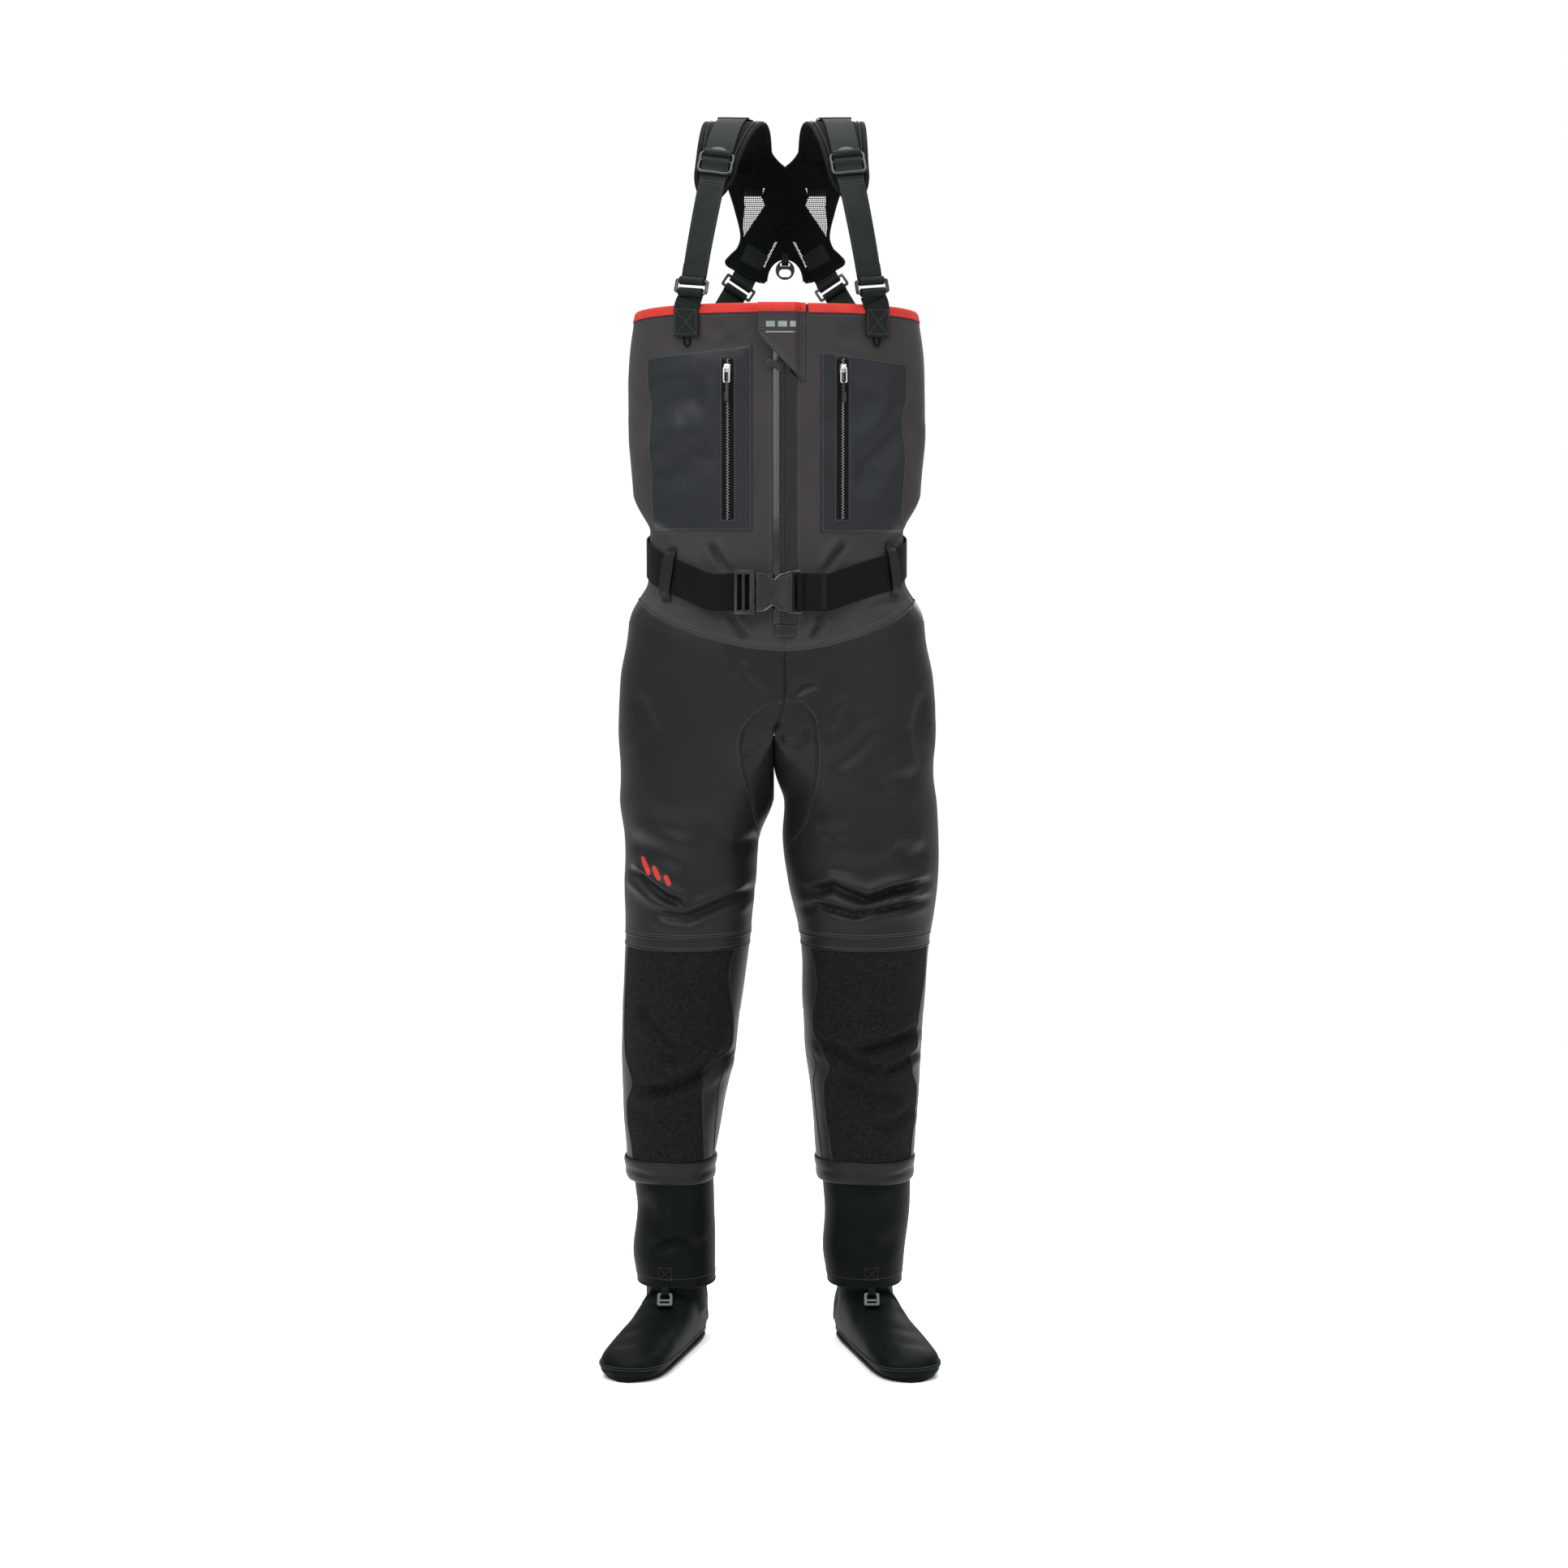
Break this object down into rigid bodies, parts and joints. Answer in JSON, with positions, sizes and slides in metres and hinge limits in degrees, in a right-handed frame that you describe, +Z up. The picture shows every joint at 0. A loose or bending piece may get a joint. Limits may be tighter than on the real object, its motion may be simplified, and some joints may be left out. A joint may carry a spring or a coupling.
{
  "type": "chest waders",
  "caption": "Stockingfoot chest waders with a front zip, chest pockets, waist belt, gravel guards and a padded shoulder harness joined by a mesh back yoke.",
  "frame": {"origin": "middle of the floor under the waders' bounding box, which stand upright as if worn", "axes": "+X to the wearer's left, +Y to the back, +Z up"},
  "size_m": [0.4652, 0.3598, 1.7094],
  "materials": {
    "laminate_brown": "matte woven laminate",
    "laminate_charcoal": "matte woven laminate",
    "laminate_slate": "matte laminate",
    "abrasion_cloth": "coarse abrasion cloth",
    "neoprene": "knit-faced neoprene",
    "red_binding": "grosgrain",
    "webbing": "ribbed webbing",
    "belt_webbing": "smooth webbing",
    "padding": "spacer mesh",
    "black_plastic": "moulded acetal",
    "zip_coating": "glossy coated tape",
    "zip_dark": "zip tape with moulded teeth",
    "zip_metal": "polished steel"
  },
  "bodies": {
    "waders": {"chest_front_right": "laminate_brown", "chest_front_left": "laminate_brown", "chest_back": "laminate_brown", "crotch_gusset": "laminate_charcoal", "right_thigh": "laminate_charcoal", "right_calf_panel": "laminate_charcoal", "right_cuff_band": "laminate_charcoal", "left_thigh": "laminate_charcoal", "left_calf_panel": "laminate_charcoal", "left_cuff_band": "laminate_charcoal", "right_pocket_panel": "laminate_slate", "left_pocket_panel": "laminate_slate", "right_knee_panel": "abrasion_cloth", "left_knee_panel": "abrasion_cloth", "right_sock": "neoprene", "right_sole": "neoprene", "right_gravel_guard": "neoprene", "left_sock": "neoprene", "left_sole": "neoprene", "left_gravel_guard": "neoprene", "chest_binding": "red_binding", "right_upper_webbing": "webbing", "right_lower_strap": "webbing", "right_front_tab": "webbing", "right_back_tab": "webbing", "left_upper_webbing": "webbing", "left_lower_strap": "webbing", "left_front_tab": "webbing", "left_back_tab": "webbing", "right_belt_loop": "webbing", "left_belt_loop": "webbing", "waist_belt": "belt_webbing", "right_shoulder_pad": "padding", "left_shoulder_pad": "padding", "back_yoke": "padding", "right_front_buckle": "black_plastic", "right_back_buckle": "black_plastic", "right_ladder_lock": "black_plastic", "left_front_buckle": "black_plastic", "left_back_buckle": "black_plastic", "left_ladder_lock": "black_plastic", "buckle_socket": "black_plastic", "main_zip": "zip_coating", "main_zip_dock": "zip_coating", "right_pocket_zip": "zip_dark", "left_pocket_zip": "zip_dark"},
    "main_slider": {"main_slider": "zip_coating"},
    "main_toggle": {"main_toggle": "zip_coating"},
    "storm_flap": {"storm_flap": "laminate_brown"},
    "buckle_latch": {"buckle_latch": "black_plastic"},
    "buckle_upper_prong": {"buckle_upper_prong": "black_plastic"},
    "buckle_lower_prong": {"buckle_lower_prong": "black_plastic"},
    "net_ring": {"net_ring": "black_plastic"},
    "right_pocket_slider": {"right_pocket_slider": "zip_metal"},
    "right_pocket_pull": {"right_pocket_pull": "zip_metal"},
    "right_lace_hook": {"right_lace_hook": "black_plastic"},
    "left_pocket_slider": {"left_pocket_slider": "zip_metal"},
    "left_pocket_pull": {"left_pocket_pull": "zip_metal"},
    "left_lace_hook": {"left_lace_hook": "black_plastic"}
  },
  "joints": [
    {"name": "main_zip_slide", "type": "slide", "parent": "waders", "child": "main_slider", "axis": [0, 0, -1], "range_m": [0, 0.26]},
    {"name": "main_toggle_swing", "type": "hinge", "parent": "main_slider", "child": "main_toggle", "pos_m": [0.01918, -0.10272, 1.395], "axis": [0, -1, 0], "range_deg": [-40, 30]},
    {"name": "storm_flap_open", "type": "hinge", "parent": "waders", "child": "storm_flap", "pos_m": [0.0468, -0.09333, 1.393], "axis": [0, 0, 1], "range_deg": [0, 95]},
    {"name": "belt_buckle_slide", "type": "slide", "parent": "waders", "child": "buckle_latch", "axis": [-1, 0, 0], "range_m": [0, 0.03]},
    {"name": "upper_prong_press", "type": "slide", "parent": "buckle_latch", "child": "buckle_upper_prong", "axis": [0, 0, -1], "range_m": [0, 0.003], "stiffness_N_per_m": 400},
    {"name": "lower_prong_press", "type": "slide", "parent": "buckle_latch", "child": "buckle_lower_prong", "axis": [0, 0, 1], "range_m": [0, 0.003], "stiffness_N_per_m": 400},
    {"name": "net_ring_swing", "type": "hinge", "parent": "waders", "child": "net_ring", "pos_m": [0.0193, 0.17075, 1.5225], "axis": [1, 0, 0], "range_deg": [-60, 60]},
    {"name": "right_pocket_zip_slide", "type": "slide", "parent": "waders", "child": "right_pocket_slider", "axis": [0, 0, -1], "range_m": [0, 0.186]},
    {"name": "right_pocket_pull_swing", "type": "hinge", "parent": "right_pocket_slider", "child": "right_pocket_pull", "pos_m": [-0.05888, -0.10038, 1.361], "axis": [-0.9848, 0.1739, 0], "range_deg": [0, 95]},
    {"name": "right_lace_hook_swing", "type": "hinge", "parent": "waders", "child": "right_lace_hook", "pos_m": [-0.1482, -0.02615, 0.082], "axis": [-1, 0, 0], "range_deg": [0, 70]},
    {"name": "left_pocket_zip_slide", "type": "slide", "parent": "waders", "child": "left_pocket_slider", "axis": [0, 0, -1], "range_m": [0, 0.186]},
    {"name": "left_pocket_pull_swing", "type": "hinge", "parent": "left_pocket_slider", "child": "left_pocket_pull", "pos_m": [0.09749, -0.09632, 1.361], "axis": [-0.9848, -0.1739, 0], "range_deg": [0, 95]},
    {"name": "left_lace_hook_swing", "type": "hinge", "parent": "waders", "child": "left_lace_hook", "pos_m": [0.1402, -0.02515, 0.082], "axis": [-1, 0, 0], "range_deg": [0, 70]}
  ]
}
